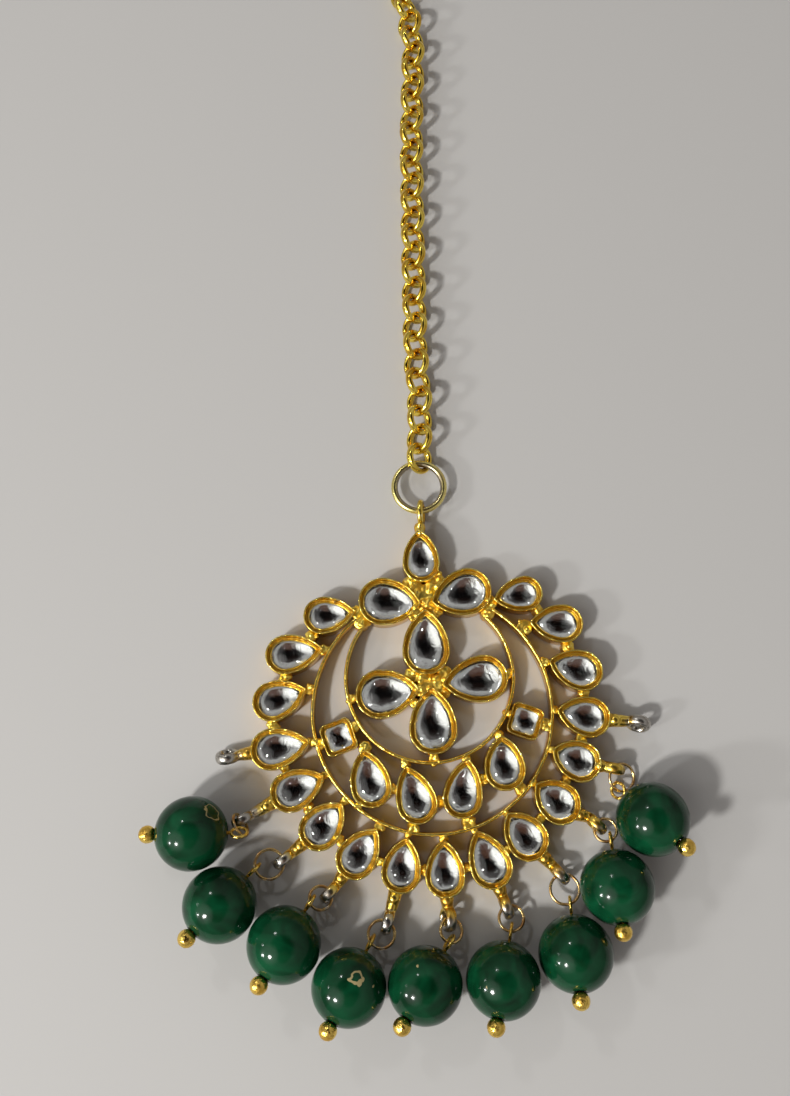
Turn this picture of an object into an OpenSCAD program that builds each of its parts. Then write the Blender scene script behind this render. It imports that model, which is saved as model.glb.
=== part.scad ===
// A bridal forehead ornament: a crescent pendant of stone-set cups with nine
// round bead drops, hung by a jump ring on a chain that ends in a hair hook.
// +X is to the wearer's left, +Y runs up the chain, +Z is the stone side.
// The origin is the middle of the four-petal flower, on the flat back.

/* [Cups] */
// Height of every stone cup, from its flat back to its rim
cup_h = 2.6; // [2.2:0.1:3]
// Thickness of a cup's upright strip
wall = 0.45; // [0.35:0.05:0.5]
// Thickness of the plate that closes a cup's back
floor_t = 0.5; // [0.4:0.1:0.7]
// Side of the two square cups
square_w = 3.75; // [3.5:0.05:4]

/* [Stones] */
// Space between a stone and its cup
stone_gap = 0.1; // [0.06:0.02:0.16]
// Height of a stone's straight side above the cup's floor
girdle_h = 0.7; // [0.5:0.1:0.9]
// How far a stone's dome rises above its side
dome_h = 0.8; // [0.6:0.1:1]

/* [Rings] */
// Radius of the ring around the flower, to the middle of its strip
inner_ring_r = 9.55; // [9.5:0.05:9.6]
// Radius of the ring inside the outer row, to the middle of its strip
outer_ring_r = 13.55; // [13.5:0.05:13.6]
// Thickness of both rings' strips
strip_t = 0.45; // [0.4:0.05:0.6]
// Level of both rings' upper edges
strip_top = 2.2; // [1.8:0.1:2.4]

/* [Drops] */
// Diameter of a round bead
bead_d = 7.9; // [7.8:0.05:7.9]
// Diameter of the hole through a bead
hole_d = 1.2; // [1:0.1:1.4]
// Diameter of the ball on a pin's end
ball_d = 1.9; // [1.7:0.1:2.1]
// Diameter of a pin's wire
pin_d = 0.4; // [0.3:0.05:0.45]
// Diameter of the wire of a drop's jump ring
drop_wire_d = 0.36; // [0.3:0.02:0.38]

/* [Chain] */
// Number of chain links
links = 28; // [20:1:28]
// Length that each link adds to the chain
pitch = 2.44; // [2.4:0.01:2.46]
// Diameter of a chain link's wire
link_wire_d = 0.64; // [0.56:0.02:0.66]

/* [Hidden] */
$fn = 64;

// Outer diameter of a chain link, which leaves the next one a little play
link_play = 0.12;
link_r = (pitch + link_wire_d + link_play) / 2;
link_lean = 45;
chain_z = (link_r * sin(link_lean) + link_wire_d / 2) + 0.02;

// The jump ring between the pendant and the chain
jump_r = 2.93;
jump_wire_d = 0.8;
jump_at = [-1.2, 23.54, 1.44];

// Centres of the two rings, and the angles of their open ends at the upper pair
inner_ring_at = [-0.15, 0.85];
outer_ring_at = [0.15, -2.9];
inner_ring_arc = [141, 407];
outer_ring_arc = [129, 419];
strip_foot = 0.1;

// Pear-shaped cups by place: round end's centre, heading of the tip, radius
// of the round end, and length from its centre to the tip
PX = 0;
PY = 1;
PHEAD = 2;
PR = 3;
PLEN = 4;
inner_pears = [
    // x      y    head   r     len
    [ -1.0,  14.0,   93, 2.20, 4.15],
    [ -5.55,  9.55, 357, 2.80, 4.50],
    [  4.4,  10.75, 197, 2.75, 4.45],
    [ -0.5,   3.8,   91, 2.75, 4.90],
    [  6.1,   0.7,  189, 2.70, 4.90],
    [ -5.8,  -1.1,    8, 2.80, 4.55],
    [  0.25, -5.1,   92, 2.75, 4.90],
    [ -6.7, -11.3,  103, 2.35, 4.25],
    [ -1.6, -13.1,  108, 2.30, 4.35],
    [  3.4, -12.55,  81, 2.25, 4.50],
    [  8.2,  -9.45,  95, 2.35, 3.85]
];
inner_pear_names = ["top", "upper_left", "upper_right", "petal_up", "petal_right", "petal_left",
    "petal_down", "inner_1", "inner_2", "inner_3", "inner_4"];

// The outer row, counter-clockwise from the upper left: place about the
// outer ring's centre, turn of the tip from straight inward, radius, length
outer_row = [
    // angle  dist  turn   r     len
    [139.5,  16.6,   48, 2.20, 3.90],
    [159.5,  17.9,   30, 2.30, 4.40],
    [177.0,  18.1,   24, 2.30, 4.10],
    [193.5,  18.6,   -2, 2.35, 4.50],
    [209.5,  18.2,   -4, 2.30, 4.20],
    [226.0,  18.1,    2, 2.30, 3.90],
    [242.0,  18.2,   -9, 2.25, 4.00],
    [258.5,  17.9,    1, 2.20, 3.90],
    [274.0,  18.0,   -2, 2.25, 4.00],
    [290.5,  18.1,    3, 2.35, 4.30],
    [306.5,  17.5,    2, 2.35, 3.70],
    [324.0,  17.4,   -2, 2.35, 3.50],
    [341.0,  17.5,   -4, 2.30, 3.50],
    [357.5,  17.8,   -9, 2.30, 3.90],
    [ 14.5,  17.7,  -31, 2.35, 4.05],
    [ 33.0,  18.1,  -35, 2.25, 3.95],
    [ 51.0,  17.2,  -40, 2.10, 3.75]
];

function polar(at, angle, dist) = at + dist * [cos(angle), sin(angle)];
function outer_pear(row) =
    let (p = polar(outer_ring_at, row[0], row[1]))
    [p[0], p[1], row[0] + 180 + row[2], row[3], row[4]];
outer_pears = [for (row = outer_row) outer_pear(row)];
pears = concat(inner_pears, outer_pears);
pear_names = concat(inner_pear_names, [for (i = [1:len(outer_row)]) str("outer_", i)]);
function pear_at(p) = [p[PX], p[PY]];
function pear_tip(p) = polar(pear_at(p), p[PHEAD], p[PLEN]);

// The two square cups: centre and turn
squares = [
    // x      y    turn
    [-10.4, -5.9,   21],
    [ 10.6, -4.1,  -19]
];
square_names = ["square_left", "square_right"];

// Solder that joins the cups and rings inside the outer ring
solder_dots = [
    // x      y     r
    [ -2.5,  11.8, 0.80],
    [  0.9,  12.2, 0.80],
    [ -0.6,  10.6, 1.15],
    [ -0.5,   9.4, 0.95],
    [ -1.9,   7.9, 0.55],
    [  0.5,   8.4, 0.80],
    [ -8.4,   8.5, 0.60],
    [ -8.0,   7.2, 0.95],
    [  7.1,   9.8, 0.50],
    [  6.7,   8.3, 0.90],
    [  1.7,   1.5, 0.75],
    [ -2.1,   1.0, 0.80],
    [  1.6,  -0.9, 0.70],
    [ -1.9,  -2.1, 0.55],
    [  0.0,   0.4, 1.00],
    [  9.0,   1.3, 0.55],
    [ -9.0,  -1.6, 0.60],
    [  0.3,  -8.3, 0.65],
    [-12.5,  -6.6, 0.70],
    [ -8.6,  -4.7, 0.60],
    [ 12.9,  -4.4, 0.75],
    [  8.8,  -3.3, 0.45],
    [ -7.5,  -7.1, 0.75],
    [ -2.9,  -8.8, 0.50],
    [  4.0,  -8.2, 0.50],
    [  7.7,  -5.6, 0.60],
    [ -4.2, -11.6, 0.55],
    [  0.9, -12.9, 0.60],
    [  5.8, -10.5, 0.65],
    [ -8.2, -13.4, 0.50],
    [ -2.0, -15.8, 0.70],
    [  4.1, -15.2, 0.80],
    [ 10.0, -11.5, 0.70],
    [-13.7,   5.6, 0.75],
    [-16.7,   0.8, 0.62],
    [-17.8,  -4.6, 0.62],
    [ 15.8,   4.3, 0.75],
    [ 12.5,   8.6, 0.62],
    [ 17.4,  -1.1, 0.60]
];
solder_foot = 0.2;
solder_top = 1.9;
// Cups of the outer row that stand side by side, and what joins such a pair
plain_pairs = [3:12];
pair_solder_r = 0.52;
// How much nearer to the ring's centre than the cups' own two centres it lies
pair_pull = 0.975;
// How far the solder on a tip laps over the tip and the ring
tip_lap = 0.3;

// Loops on the outer row: cup, place of the hole, heading and lean of the loop
LCUP = 0;
LANG = 1;
LDIST = 2;
LHEAD = 3;
LLEAN = 4;
loops = [
    // cup  angle  dist  head  lean
    [ 3, 192.5, 23.6, 188,  20],
    [ 4, 209.5, 24.2, 209,   0],
    [ 5, 224.5, 23.0, 218,   0],
    [ 6, 240.0, 22.6, 226,   0],
    [ 7, 257.5, 23.2, 254,   0],
    [ 8, 274.0, 22.4, 271,  20],
    [ 9, 290.5, 22.5, 290,   0],
    [10, 308.0, 22.4, 311,   0],
    [11, 325.5, 21.9, 316,   0],
    [12, 342.5, 21.2, 348,   0],
    [13, 356.5, 23.4, 346,  20]
];
// The first loop that carries a drop; the rest follow in turn
first_laden_loop = 1;
loop_r = 1.05;
loop_wire_d = 0.7;
loop_z = 1.4;
stub_d = 1.0;
// The larger loop on the tip of the top cup
top_loop_at = [-0.98, 20.25, 1.65];
top_loop_r = 1.3;
top_loop_lean = 8;

// Drops, left to right: bead's centre, heading of the pin's ball and how far
// the pin rises towards it
DX = 0;
DY = 1;
DHEAD = 2;
DRISE = 3;
drops = [
    // x      y    head  rise
    [-26.1, -16.2,  181,   4],
    [-22.75, -23.5, 226,  22],
    [-15.8, -27.5,  238,  22],
    [ -8.9, -31.7,  242,  24],
    [ -0.9, -31.5,  236,  22],
    [  7.3, -31.0,  256,  24],
    [ 15.0, -28.4,  270,  26],
    [ 19.7, -21.7,  270,  24],
    [ 23.9, -14.7,  315,  34]
];
bead_r = bead_d / 2;
eye_r = 0.85;
eye_at = bead_r + 0.3 + eye_r;
ball_gap = 0.05;
rim_at = sqrt(pow(bead_r, 2) - pow(hole_d / 2, 2));
ball_at = rim_at + sqrt(pow(ball_d / 2 + ball_gap, 2) - pow(hole_d / 2, 2));

// A drop's jump ring runs through the middles of its edge loop and of its
// pin's eye. It bows to one side, partly to stand square to the loop and
// partly to stand square to the pin, and the eye rolls to face it.
drop_ring_r_min = 1.2;
drop_ring_r_max = 1.5;
// How far short of the two middles the widest rings may stop
drop_ring_short = 0.15;
// The pin's say in the bow, and the most that it asks for
pin_share = 0.3;
pin_bow_max = 40;
MIDDLE = 0;
RADIUS = 1;
AXIS = 2;
AXIS_AT_EYE = 3;
function dir(heading, rise = 0) =
    [cos(rise) * cos(heading), cos(rise) * sin(heading), sin(rise)];
function unit(v) = v / norm(v);
function loop_middle(l) =
    let (p = polar(outer_ring_at, l[LANG], l[LDIST]))
    [p[0], p[1], loop_z];
function loop_axis(l) =
    cos(l[LLEAN]) * dir(l[LHEAD] - 90) + [0, 0, sin(l[LLEAN])];
function pin_way(d) = -dir(d[DHEAD], d[DRISE]);
function eye_middle(d) = [d[DX], d[DY], bead_r] + eye_at * pin_way(d);
function drop_ring(i) =
    let (
        d = drops[i],
        l = loops[first_laden_loop + i],
        span = norm(eye_middle(d) - loop_middle(l)),
        way = (eye_middle(d) - loop_middle(l)) / span,
        along = loop_axis(l) * way,
        across = unit(loop_axis(l) - along * way),
        square_to_pin = atan(-(across * pin_way(d)) / (way * pin_way(d))),
        pin_bow = max(-pin_bow_max, min(pin_bow_max, square_to_pin)),
        bow = (1 - pin_share) * -asin(along) + pin_share * pin_bow,
        r = max(min(span / 2 / cos(bow), drop_ring_r_max), drop_ring_r_min,
                span / 2 - drop_ring_short),
        aside = sign(bow) * sqrt(max(pow(r, 2) - pow(span / 2, 2), 0))
    )
    [
        (loop_middle(l) + eye_middle(d)) / 2 + aside * across,
        r,
        cross(way, across),
        span / 2 * across + aside * way
    ];
// Roll about the pin that turns the eye's hole to its ring
function eye_roll(i) =
    let (
        d = drops[i],
        facing = drop_ring(i)[AXIS_AT_EYE],
        level = dir(d[DHEAD] - 90),
        upright = dir(d[DHEAD] + 180, 90 - d[DRISE])
    )
    atan2(-(facing * level), facing * upright);

// Heading of the chain at a few links, counted from the jump ring
chain_start = [-1.15, 27.13];
chain_bends = [
    // link  heading
    [ 0,  89],
    [ 3,  90],
    [ 4,  97],
    [ 5,  93],
    [ 7,  91],
    [17,  90.5],
    [19,  88.5],
    [23,  89],
    [25, 101],
    [28, 104]
];
function chain_heading(i) = lookup(i, chain_bends);
function chain_at(i) = i == 0 ? chain_start : polar(chain_at(i - 1), chain_heading(i - 0.5), pitch);

// The hair hook past the chain's last link
hook_wire_d = 0.8;
hook_eye_r = 1.35;
hook_shank = 5;
hook_bend_r = 1.7;
hook_return = 3.5;
hook_dip = 6;
hook_play = 0.12;
hook_from_link = link_r + hook_eye_r - (link_wire_d + hook_wire_d) / 2 - hook_play;

gold = "goldenrod";

// A torus around Z
module hoop(r, wire_d) {
    rotate_extrude()
        translate([r, 0])
            circle(d = wire_d);
}

// Right half of a pear outline with its tip up: a quarter disc below, and
// above it one side of a lens whose arcs leave the disc upright
module half_pear(r, length) {
    arc_r = (pow(length, 2) + pow(r, 2)) / (2 * r);
    intersection() {
        circle(r, $fn = 96);
        translate([0, -r])
            square([r, r]);
    }
    intersection() {
        translate([r - arc_r, 0])
            circle(arc_r, $fn = 180);
        square([r, length + 1]);
    }
}

// A pear outline with its tip along +X
module pear_outline(r, length) {
    arc_r = (pow(length, 2) + pow(r, 2)) / (2 * r);
    intersection() {
        circle(r, $fn = 96);
        translate([-r - 1, -r - 1])
            square([r + 1, 2 * r + 2]);
    }
    intersection() {
        translate([0, r - arc_r])
            circle(arc_r, $fn = 180);
        translate([0, arc_r - r])
            circle(arc_r, $fn = 180);
        translate([0, -r - 1])
            square([length + 1, 2 * r + 2]);
    }
}

module place_pear(p) {
    translate([p[PX], p[PY], 0])
        rotate(p[PHEAD])
            children();
}

// A strip bent to a pear and closed at the back
module pear_cup(p) {
    inset = (p[PLEN] - wall * p[PLEN] / p[PR]) / p[PLEN];
    place_pear(p)
        difference() {
            linear_extrude(cup_h)
                pear_outline(p[PR], p[PLEN]);
            translate([0, 0, floor_t])
                linear_extrude(cup_h)
                    pear_outline(p[PR] - wall, inset * p[PLEN]);
        }
}

module square_cup(s) {
    translate([s[0], s[1], 0])
        rotate(s[2])
            difference() {
                translate([-square_w / 2, -square_w / 2, 0])
                    cube([square_w, square_w, cup_h]);
                translate([wall - square_w / 2, wall - square_w / 2, floor_t])
                    cube([square_w - 2 * wall, square_w - 2 * wall, cup_h]);
            }
}

module ring_strip(at, r, arc) {
    translate([at[0], at[1], strip_foot])
        rotate(arc[0])
            rotate_extrude(angle = arc[1] - arc[0], $fn = 180)
                translate([r - strip_t / 2, 0])
                    square([strip_t, strip_top - strip_foot]);
}

module solder(x, y, r) {
    translate([x, y, solder_foot])
        cylinder(h = solder_top - solder_foot, r = r, $fn = 32);
}

module row_solder() {
    for (i = plain_pairs) {
        mid = (pear_at(outer_pears[i]) + pear_at(outer_pears[i + 1])) / 2;
        at = outer_ring_at + (mid - outer_ring_at) * pair_pull;
        solder(at[0], at[1], pair_solder_r);
    }
    for (p = outer_pears) {
        tip = pear_tip(p) - outer_ring_at;
        ring_edge = outer_ring_r + strip_t / 2;
        space = norm(tip) - ring_edge;
        at = outer_ring_at + tip * (ring_edge + space / 2) / norm(tip);
        solder(at[0], at[1], space / 2 + tip_lap);
    }
}

// A hoop standing on its edge along a heading, leaned to one side
module standing_hoop(heading, lean, r, wire_d) {
    rotate(heading)
        rotate([90 - lean, 0, 0])
            hoop(r, wire_d);
}

module edge_loop(l) {
    at = polar(outer_ring_at, l[LANG], l[LDIST]);
    cup = outer_pears[l[LCUP]];
    reach = at - pear_at(cup);
    stub_angle = atan2(reach[1], reach[0]);
    translate([at[0], at[1], loop_z])
        standing_hoop(l[LHEAD], l[LLEAN], loop_r, loop_wire_d);
    foot = polar(pear_at(cup), stub_angle, cup[PR] - wall * 0.6);
    head = at - loop_r * [cos(l[LHEAD]), sin(l[LHEAD])];
    run = head - foot;
    translate([foot[0], foot[1], loop_z])
        rotate([0, 90, atan2(run[1], run[0])])
            cylinder(h = norm(run), d = stub_d, $fn = 32);
}

module top_loop() {
    translate(top_loop_at)
        standing_hoop(90, top_loop_lean, top_loop_r, loop_wire_d);
    tip = pear_tip(pears[0]);
    translate([tip[0] + 0.1, tip[1] + 0.25, top_loop_at[2] - 0.2])
        sphere(0.8, $fn = 32);
}

module frame() {
    color(gold) {
        for (p = pears)
            pear_cup(p);
        for (s = squares)
            square_cup(s);
        ring_strip(inner_ring_at, inner_ring_r, inner_ring_arc);
        ring_strip(outer_ring_at, outer_ring_r, outer_ring_arc);
        for (d = solder_dots)
            solder(d[0], d[1], d[2]);
        row_solder();
        for (l = loops)
            edge_loop(l);
        top_loop();
    }
}

// A domed pear: the turned drop of a little larger outline, cut by the stone's
// own outline, so that the dome's edge runs level along the side
module pear_stone(p) {
    r = p[PR] - wall - stone_gap;
    length = p[PLEN] * r / p[PR];
    dome_r = (pow(r, 2) + pow(dome_h, 2)) / (2 * dome_h);
    foot = floor_t + stone_gap;
    color("lightcyan")
        place_pear(p)
            translate([0, 0, foot])
                intersection() {
                    linear_extrude(girdle_h + dome_h + 1)
                        pear_outline(r, length);
                    translate([0, 0, girdle_h + dome_h - dome_r])
                        rotate([0, 90, 0])
                            rotate([0, 0, 90])
                                rotate_extrude($fn = 96)
                                    half_pear(dome_r, length * dome_r / r);
                }
}

module square_stone(s) {
    side = square_w - 2 * (wall + stone_gap);
    dome_r = 2.6;
    corner_r = side * 0.66;
    color("lightcyan")
        translate([s[0], s[1], floor_t + stone_gap])
            rotate(s[2])
                intersection() {
                    translate([-side / 2, -side / 2, 0])
                        cube([side, side, girdle_h + dome_h]);
                    cylinder(h = 4, r = corner_r);
                    translate([0, 0, girdle_h + dome_h - dome_r])
                        sphere(dome_r);
                }
}

// Turns +X to a drop's pin, from the ball to the eye
module along_pin(d) {
    translate([d[DX], d[DY], bead_r])
        rotate([0, d[DRISE], d[DHEAD] + 180])
            children();
}

// Turned around the hole that runs through it
module bead(d) {
    color("darkgreen")
        along_pin(d)
            rotate([0, 90, 0])
                rotate_extrude($fn = 96)
                    intersection() {
                        circle(bead_r, $fn = 96);
                        translate([hole_d / 2, -bead_r])
                            square([bead_r, bead_d]);
                    }
}

// A straight wire up the Z axis with a ball around its low end
module ball_ended_wire(end_d, wire_d, length) {
    rotate_extrude($fn = 48) {
        intersection() {
            circle(d = end_d);
            translate([0, -end_d])
                square([end_d, 2 * end_d]);
        }
        square([wire_d / 2, length]);
    }
}

module pin(i) {
    color(gold)
        along_pin(drops[i]) {
            translate([-ball_at, 0, 0])
                rotate([0, 90, 0])
                    ball_ended_wire(ball_d, pin_d, ball_at + eye_at - eye_r);
            translate([eye_at, 0, 0])
                rotate([eye_roll(i), 0, 0])
                    hoop(eye_r, pin_d);
        }
}

module drop_rings() {
    color("darkkhaki")
        for (i = [0:len(drops) - 1]) {
            ring = drop_ring(i);
            translate(ring[MIDDLE])
                rotate([0, acos(ring[AXIS][2]), atan2(ring[AXIS][1], ring[AXIS][0])])
                    hoop(ring[RADIUS], drop_wire_d);
        }
}

module jump_ring() {
    color(gold)
        translate(jump_at)
            hoop(jump_r, jump_wire_d);
}

module chain() {
    color(gold)
        for (i = [0:links - 1]) {
            at = chain_at(i);
            lean = i % 2 == 0 ? link_lean : -link_lean;
            translate([at[0], at[1], chain_z])
                rotate([0, 0, chain_heading(i) - 90])
                    rotate([0, lean, 0])
                        hoop(link_r, link_wire_d);
        }
}

// One bent wire with an eye for the last link
module hair_hook() {
    heading = chain_heading(links);
    at = polar(chain_at(links - 1), heading, hook_from_link);
    color(gold)
        translate([at[0], at[1], chain_z])
            rotate([0, hook_dip, heading]) {
                rotate([link_lean, 0, 0])
                    hoop(hook_eye_r, hook_wire_d);
                translate([hook_eye_r, 0, 0])
                    rotate([0, 90, 0])
                        cylinder(h = hook_shank, d = hook_wire_d, $fn = 32);
                translate([hook_eye_r + hook_shank, hook_bend_r, 0])
                    rotate([0, 0, -90])
                        rotate_extrude(angle = 180)
                            translate([hook_bend_r, 0])
                                circle(d = hook_wire_d);
                translate([hook_eye_r + hook_shank - hook_return, 2 * hook_bend_r, 0])
                    rotate([0, 90, 0])
                        ball_ended_wire(hook_wire_d * 1.3, hook_wire_d, hook_return);
            }
}

frame();
for (i = [0:len(pears) - 1])
    pear_stone(pears[i]);
for (i = [0:len(squares) - 1])
    square_stone(squares[i]);
for (i = [0:len(drops) - 1]) {
    bead(drops[i]);
    pin(i);
}
drop_rings();
jump_ring();
chain();
hair_hook();
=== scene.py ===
"""Dresses a bridal forehead ornament with its plated metal, foiled glass stones and green bead drops.

The classes hold their sizes in millimetres, and a mesh turns to metres when its object is made.
"""

from __future__ import annotations

import logging
import math
import random
from dataclasses import dataclass, field
from enum import Enum
from typing import Any, Callable, Iterable, Sequence

import bpy
from bpy.types import Material, Mesh, Node, NodeSocket, NodeTree, Object
from mathutils import Matrix, Vector, noise

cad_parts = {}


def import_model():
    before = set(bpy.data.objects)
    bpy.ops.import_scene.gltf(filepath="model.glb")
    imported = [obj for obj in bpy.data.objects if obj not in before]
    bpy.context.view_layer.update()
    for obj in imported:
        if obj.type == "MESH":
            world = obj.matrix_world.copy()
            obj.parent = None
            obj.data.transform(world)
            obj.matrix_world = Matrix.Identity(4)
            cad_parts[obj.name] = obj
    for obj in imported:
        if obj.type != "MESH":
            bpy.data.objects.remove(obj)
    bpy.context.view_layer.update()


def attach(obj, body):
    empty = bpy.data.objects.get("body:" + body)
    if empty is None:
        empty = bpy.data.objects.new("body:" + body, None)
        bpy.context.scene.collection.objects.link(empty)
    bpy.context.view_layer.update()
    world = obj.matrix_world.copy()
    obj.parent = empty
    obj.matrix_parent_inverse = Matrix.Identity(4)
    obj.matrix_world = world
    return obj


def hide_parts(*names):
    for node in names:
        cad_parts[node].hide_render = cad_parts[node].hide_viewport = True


LOG = logging.getLogger("ornament")
MM = 0.001
# Settings that several nodes share
SMOOTH = {"interpolation_type": "SMOOTHSTEP"}
COLOURS = {"data_type": "RGBA"}
DISTANCE = {"operation": "DISTANCE"}

Pair = tuple[float, float]
Triple = tuple[float, float, float]
Rows = tuple[tuple[float, ...], ...]
Ring = Sequence[Vector]


class Slot(Enum):
    """The record's material slots."""

    GOLD = "gold_plate"
    WORN = "worn_plate"
    GLASS = "foiled_glass"
    GREEN = "green_bead"


def linear(hex_colour: str) -> tuple[float, float, float, float]:
    """Turns an sRGB hex colour to linear light.

    Args:
        hex_colour: Six hex digits after a hash.

    Returns:
        Red, green and blue from 0 to 1, and an alpha of 1.
    """
    values = [int(hex_colour[i : i + 2], 16) / 255 for i in (1, 3, 5)]
    red, green, blue = [v / 12.92 if v <= 0.04045 else ((v + 0.055) / 1.055) ** 2.4 for v in values]
    return red, green, blue, 1.0


def add_node(
    tree: NodeTree,
    kind: str,
    settings: dict[str, Any] | None = None,
    inputs: dict[str | int, Any] | None = None,
) -> Node:
    """Adds a shader node, and fills or links its sockets.

    Args:
        tree: The node tree that gets the node.
        kind: The node's type name after "ShaderNode".
        settings: The node's own properties.
        inputs: A value, or another node's output, for each named or numbered input.

    Returns:
        The new node.
    """
    node = tree.nodes.new("ShaderNode" + kind)
    for name, value in (settings or {}).items():
        setattr(node, name, value)
    for name, value in (inputs or {}).items():
        if isinstance(value, NodeSocket):
            tree.links.new(value, node.inputs[name])
        else:
            node.inputs[name].default_value = value
    return node


def fill_ramp(ramp: Node, stops: Sequence[tuple[float, str]]) -> None:
    """Sets a colour ramp's stops.

    Args:
        ramp: The colour ramp node.
        stops: Each stop's place and hex colour, from low to high.
    """
    elements = ramp.color_ramp.elements
    while len(elements) < len(stops):
        elements.new(1.0)
    for element, (place, colour) in zip(elements, stops, strict=False):
        element.position = place
        element.color = linear(colour)


def new_material(name: str, constants: dict[str, Any]) -> tuple[Material, NodeTree, Node]:
    """Makes a material with one principled shader.

    Args:
        name: The material's name.
        constants: The shader's values that are the same all over.

    Returns:
        The material, its node tree and the shader.
    """
    material = bpy.data.materials.new(name)
    material.use_nodes = True
    shader = material.node_tree.nodes["Principled BSDF"]
    for socket, value in constants.items():
        shader.inputs[socket].default_value = value
    return material, material.node_tree, shader


def emboss(
    tree: NodeTree,
    shader: Node,
    place: NodeSocket,
    grain_mm: float,
    height_mm: float,
    **pattern: float,
) -> None:
    """Presses a cloudy unevenness into a surface.

    Args:
        tree: The material's node tree.
        shader: The shader whose surface it shapes.
        place: The surface's place.
        grain_mm: Breadth of a hollow.
        height_mm: Height from its bottom to its rim.
        pattern: The noise's detail, roughness and distortion.
    """
    scale = 1 / (grain_mm * MM)
    cloud = add_node(tree, "TexNoise", inputs={"Vector": place, "Scale": scale, **pattern}).outputs["Fac"]
    bump = add_node(tree, "Bump", inputs={"Height": cloud, "Strength": 1.0, "Distance": height_mm * MM})
    tree.links.new(bump.outputs["Normal"], shader.inputs["Normal"])


@dataclass(frozen=True)
class PlatedMetal:
    """Hand-soldered brass, electroplated with gold: bright, with a fine uneven skin and worn spots."""

    name: str
    # The plate where it is thick and where it is thin, and the metal that shows where it is gone, which on
    # the jump ring is painted shade instead
    bright: str
    deep: str
    worn: str
    worn_share: float
    # From the glossiest patches to the dullest
    roughness: Pair
    # Hand tools and casting leave such dents
    dent_mm: float
    dent_height_mm: float
    # Clouds of thicker and thinner plate, which give the metal its warm and pale patches
    patch_mm: float = 1.6
    # Pinholes of real plate are about 0.3 mm wide, and are drawn coarser, because those wouldn't show
    worn_spot_mm: float = 0.9
    # Heights between which the dull recesses turn to buffed edges, and the recesses' colour, a darker amber
    # painted as shade, and their roughness
    recess_mm: Pair | None = None
    recess_shade: str = "#DFAF3C"
    recess_roughness: float = 0.46

    def wear_and_shade_mask(self, tree: NodeTree, place: NodeSocket) -> NodeSocket:
        """Says where the plate has worn off: in small spots all over.

        Args:
            tree: The material's node tree.
            place: The surface's place.

        Returns:
            A mask from 0, whole, to 1, worn.
        """
        spots = {"Vector": place, "Scale": 1 / (self.worn_spot_mm * MM), "Detail": 4.0, "Roughness": 0.65}
        wear = add_node(tree, "TexNoise", inputs=spots).outputs["Fac"]
        least, most = 0.72 - self.worn_share * 0.45, 0.8 - self.worn_share * 0.35
        border = {"Value": wear, "From Min": least, "From Max": most}
        return add_node(tree, "MapRange", SMOOTH, border).outputs["Result"]

    def material(self) -> Material:
        """Builds the plated metal's material."""
        material, tree, shader = new_material(self.name, {"Metallic": 1.0})
        place = add_node(tree, "TexCoord").outputs["Object"]
        clouds = {"Vector": place, "Scale": 1 / (self.patch_mm * MM), "Detail": 3.0, "Roughness": 0.6}
        patches = add_node(tree, "TexNoise", inputs=clouds).outputs["Fac"]
        tint = add_node(tree, "ValToRGB", inputs={"Fac": patches})
        fill_ramp(tint, [(0.35, self.deep), (0.6, self.bright)])
        plate = {"Factor": self.wear_and_shade_mask(tree, place), "A": tint.outputs["Color"], "B": linear(self.worn)}
        skin = add_node(tree, "Mix", COLOURS, plate).outputs["Result"]
        glossy, dull = self.roughness
        shine = {"Value": patches, "From Min": 0.3, "From Max": 0.7, "To Min": dull, "To Max": glossy}
        gloss = add_node(tree, "MapRange", inputs=shine).outputs["Result"]
        if self.recess_mm:
            height = add_node(tree, "SeparateXYZ", inputs={"Vector": place}).outputs["Z"]
            low, high = self.recess_mm
            rise = {"Value": height, "From Min": low * MM, "From Max": high * MM}
            raised = add_node(tree, "MapRange", SMOOTH, rise).outputs["Result"]
            normal = add_node(tree, "NewGeometry").outputs["Normal"]
            upward = add_node(tree, "SeparateXYZ", inputs={"Vector": normal}).outputs["Z"]
            tilt = {"Value": upward, "From Min": 0.45, "From Max": 0.1}
            side = add_node(tree, "MapRange", inputs=tilt).outputs["Result"]
            buffed = add_node(tree, "Math", {"operation": "MAXIMUM"}, {0: raised, 1: side}).outputs[0]
            # Painted shade: below these heights the colour turns to the darker amber recess shade
            plate = {"Factor": raised, "A": linear(self.recess_shade), "B": skin}
            skin = add_node(tree, "Mix", COLOURS, plate).outputs["Result"]
            shine = {"Value": buffed, "To Min": self.recess_roughness, "To Max": gloss}
            gloss = add_node(tree, "MapRange", inputs=shine).outputs["Result"]
        tree.links.new(skin, shader.inputs["Base Color"])
        tree.links.new(gloss, shader.inputs["Roughness"])
        emboss(tree, shader, place, self.dent_mm, self.dent_height_mm, Detail=2.0, Roughness=0.5)
        return material


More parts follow.
